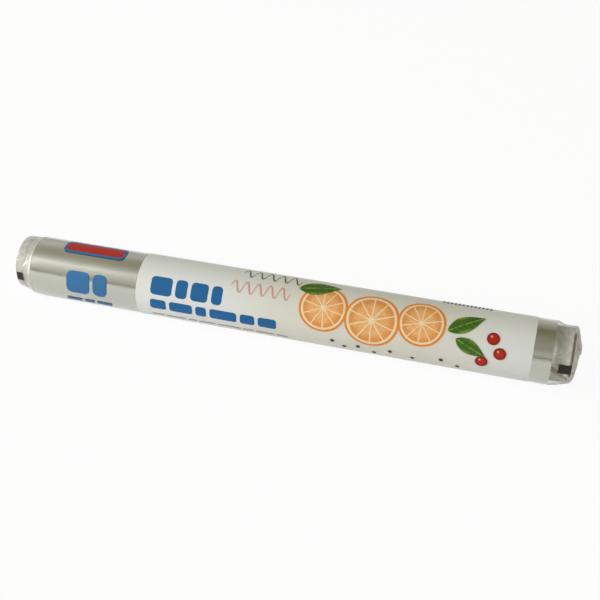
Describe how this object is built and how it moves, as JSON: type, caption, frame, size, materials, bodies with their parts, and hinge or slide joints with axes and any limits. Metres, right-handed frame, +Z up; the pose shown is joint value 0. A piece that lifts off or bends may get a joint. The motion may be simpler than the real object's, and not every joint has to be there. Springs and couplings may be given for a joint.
{
  "type": "aluminium foil roll",
  "caption": "Household aluminium foil wound on a paperboard core, shrink-wrapped in clear film that is printed with a white panel and simple fruit and leaf shapes, lying on its side.",
  "frame": {"origin": "under the middle of the roll, on the surface that it lies on", "axes": "+X along the roll towards the end beside the narrow bare band, +Z up, the printed front faces -Y"},
  "size_m": [0.308, 0.0335, 0.0336],
  "materials": {
    "core_board": "matt spiral-wound paperboard",
    "foil": "bright rolled foil with fine lines round the roll",
    "clear_film": "clear glossy shrink film, wrinkled at its ends",
    "white_ink": "glossy white print on film",
    "blue_ink": "glossy print",
    "red_ink": "glossy print",
    "pink_ink": "glossy print",
    "green_ink": "glossy print",
    "orange_ink": "glossy print",
    "amber_ink": "glossy print",
    "brown_ink": "glossy print",
    "grey_ink": "glossy print",
    "black_ink": "glossy print"
  },
  "bodies": {
    "root": {"core_tube": "core_board", "foil_roll": "foil", "film_wrap": "clear_film", "print_white_panel": "white_ink", "print_blue": "blue_ink", "print_red": "red_ink", "print_pink": "pink_ink", "print_green": "green_ink", "print_orange": "orange_ink", "print_amber": "amber_ink", "print_brown": "brown_ink", "print_grey": "grey_ink", "print_black": "black_ink", "cutting_marks": "black_ink"}
  },
  "joints": []
}
